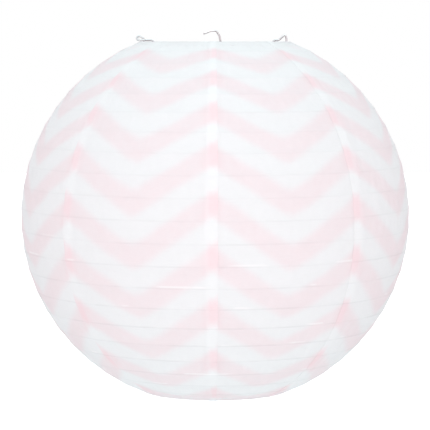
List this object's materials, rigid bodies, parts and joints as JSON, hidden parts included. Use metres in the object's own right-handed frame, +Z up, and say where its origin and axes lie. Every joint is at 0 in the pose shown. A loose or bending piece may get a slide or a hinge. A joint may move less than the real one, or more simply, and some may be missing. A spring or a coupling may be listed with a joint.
{
  "type": "paper lantern",
  "caption": "Round hanging paper lantern: lapped paper panels over parallel wire hoops between two open rings, held open by a lift-out wire expander with a hook.",
  "frame": {"origin": "seat of the hanging hook, on the lantern's axis, where a cord or ceiling hook bears on the underside of the bend", "axes": "+Z up along the lantern's axis; the flat expander lies in the XZ plane, and -Y is the front"},
  "size_m": [0.3558, 0.3558, 0.3326],
  "materials": {
    "paper": "matte thin tissue paper, printed with pale chevrons",
    "ring_wire": "galvanised wire",
    "rib_wire": "thin galvanised wire",
    "expander_wire": "bright galvanised spring wire"
  },
  "bodies": {
    "root": {"top_ring": "ring_wire", "paper_panel_1": "paper", "paper_panel_2": "paper", "paper_panel_3": "paper", "paper_panel_4": "paper", "paper_panel_5": "paper", "paper_panel_6": "paper", "paper_panel_7": "paper", "paper_panel_8": "paper"},
    "bottom_ring": {"bottom_ring": "ring_wire"},
    "rib_01": {"rib_01": "rib_wire"},
    "rib_02": {"rib_02": "rib_wire"},
    "rib_03": {"rib_03": "rib_wire"},
    "rib_04": {"rib_04": "rib_wire"},
    "rib_05": {"rib_05": "rib_wire"},
    "rib_06": {"rib_06": "rib_wire"},
    "rib_07": {"rib_07": "rib_wire"},
    "rib_08": {"rib_08": "rib_wire"},
    "rib_09": {"rib_09": "rib_wire"},
    "rib_10": {"rib_10": "rib_wire"},
    "rib_11": {"rib_11": "rib_wire"},
    "rib_12": {"rib_12": "rib_wire"},
    "rib_13": {"rib_13": "rib_wire"},
    "rib_14": {"rib_14": "rib_wire"},
    "rib_15": {"rib_15": "rib_wire"},
    "rib_16": {"rib_16": "rib_wire"},
    "rib_17": {"rib_17": "rib_wire"},
    "rib_18": {"rib_18": "rib_wire"},
    "rib_19": {"rib_19": "rib_wire"},
    "rib_20": {"rib_20": "rib_wire"},
    "expander": {"expander_crossbar": "expander_wire"},
    "left_leg": {"expander_left_leg": "expander_wire"},
    "right_leg": {"expander_right_leg": "expander_wire"}
  },
  "joints": [
    {"name": "collapse", "type": "slide", "parent": "root", "child": "bottom_ring", "axis": [0, 0, 1], "range_m": [0, 0.29909], "deforming": ["paper_panel_1", "paper_panel_2", "paper_panel_3", "paper_panel_4", "paper_panel_5", "paper_panel_6", "paper_panel_7", "paper_panel_8"]},
    {"name": "rib_01_rise", "type": "slide", "parent": "root", "child": "rib_01", "axis": [0, 0, 1], "range_m": [0, 0.00754]},
    {"name": "rib_02_rise", "type": "slide", "parent": "root", "child": "rib_02", "axis": [0, 0, 1], "range_m": [0, 0.01725]},
    {"name": "rib_03_rise", "type": "slide", "parent": "root", "child": "rib_03", "axis": [0, 0, 1], "range_m": [0, 0.02861]},
    {"name": "rib_04_rise", "type": "slide", "parent": "root", "child": "rib_04", "axis": [0, 0, 1], "range_m": [0, 0.04149]},
    {"name": "rib_05_rise", "type": "slide", "parent": "root", "child": "rib_05", "axis": [0, 0, 1], "range_m": [0, 0.05573]},
    {"name": "rib_06_rise", "type": "slide", "parent": "root", "child": "rib_06", "axis": [0, 0, 1], "range_m": [0, 0.07113]},
    {"name": "rib_07_rise", "type": "slide", "parent": "root", "child": "rib_07", "axis": [0, 0, 1], "range_m": [0, 0.08752]},
    {"name": "rib_08_rise", "type": "slide", "parent": "root", "child": "rib_08", "axis": [0, 0, 1], "range_m": [0, 0.10469]},
    {"name": "rib_09_rise", "type": "slide", "parent": "root", "child": "rib_09", "axis": [0, 0, 1], "range_m": [0, 0.12241]},
    {"name": "rib_10_rise", "type": "slide", "parent": "root", "child": "rib_10", "axis": [0, 0, 1], "range_m": [0, 0.14048]},
    {"name": "rib_11_rise", "type": "slide", "parent": "root", "child": "rib_11", "axis": [0, 0, 1], "range_m": [0, 0.15865]},
    {"name": "rib_12_rise", "type": "slide", "parent": "root", "child": "rib_12", "axis": [0, 0, 1], "range_m": [0, 0.17672]},
    {"name": "rib_13_rise", "type": "slide", "parent": "root", "child": "rib_13", "axis": [0, 0, 1], "range_m": [0, 0.19445]},
    {"name": "rib_14_rise", "type": "slide", "parent": "root", "child": "rib_14", "axis": [0, 0, 1], "range_m": [0, 0.21161]},
    {"name": "rib_15_rise", "type": "slide", "parent": "root", "child": "rib_15", "axis": [0, 0, 1], "range_m": [0, 0.228]},
    {"name": "rib_16_rise", "type": "slide", "parent": "root", "child": "rib_16", "axis": [0, 0, 1], "range_m": [0, 0.2434]},
    {"name": "rib_17_rise", "type": "slide", "parent": "root", "child": "rib_17", "axis": [0, 0, 1], "range_m": [0, 0.25764]},
    {"name": "rib_18_rise", "type": "slide", "parent": "root", "child": "rib_18", "axis": [0, 0, 1], "range_m": [0, 0.27052]},
    {"name": "rib_19_rise", "type": "slide", "parent": "root", "child": "rib_19", "axis": [0, 0, 1], "range_m": [0, 0.28188]},
    {"name": "rib_20_rise", "type": "slide", "parent": "root", "child": "rib_20", "axis": [0, 0, 1], "range_m": [0, 0.29159]},
    {"name": "expander_lift", "type": "slide", "parent": "root", "child": "expander", "axis": [0, 0, 1], "range_m": [0, 0.345]},
    {"name": "left_leg_squeeze", "type": "hinge", "parent": "expander", "child": "left_leg", "pos_m": [-0.0654, 0.001, -0.0083], "axis": [0, -1, 0], "range_deg": [0, 8], "stiffness_Nm_per_rad": 0.9, "springref_deg": -1.72},
    {"name": "right_leg_squeeze", "type": "hinge", "parent": "expander", "child": "right_leg", "pos_m": [0.0654, 0.001, -0.0083], "axis": [0, 1, 0], "range_deg": [0, 8], "stiffness_Nm_per_rad": 0.9, "springref_deg": -1.72}
  ],
  "couplings": [
    {"joint": "rib_01_rise", "follows": "collapse", "ratio": 0.025135},
    {"joint": "rib_02_rise", "follows": "collapse", "ratio": 0.057601},
    {"joint": "rib_03_rise", "follows": "collapse", "ratio": 0.095604},
    {"joint": "rib_04_rise", "follows": "collapse", "ratio": 0.13867},
    {"joint": "rib_05_rise", "follows": "collapse", "ratio": 0.18625},
    {"joint": "rib_06_rise", "follows": "collapse", "ratio": 0.23777},
    {"joint": "rib_07_rise", "follows": "collapse", "ratio": 0.29256},
    {"joint": "rib_08_rise", "follows": "collapse", "ratio": 0.34995},
    {"joint": "rib_09_rise", "follows": "collapse", "ratio": 0.40921},
    {"joint": "rib_10_rise", "follows": "collapse", "ratio": 0.46961},
    {"joint": "rib_11_rise", "follows": "collapse", "ratio": 0.53039},
    {"joint": "rib_12_rise", "follows": "collapse", "ratio": 0.59079},
    {"joint": "rib_13_rise", "follows": "collapse", "ratio": 0.65006},
    {"joint": "rib_14_rise", "follows": "collapse", "ratio": 0.70744},
    {"joint": "rib_15_rise", "follows": "collapse", "ratio": 0.76223},
    {"joint": "rib_16_rise", "follows": "collapse", "ratio": 0.81375},
    {"joint": "rib_17_rise", "follows": "collapse", "ratio": 0.86133},
    {"joint": "rib_18_rise", "follows": "collapse", "ratio": 0.9044},
    {"joint": "rib_19_rise", "follows": "collapse", "ratio": 0.9424},
    {"joint": "rib_20_rise", "follows": "collapse", "ratio": 0.97486}
  ]
}
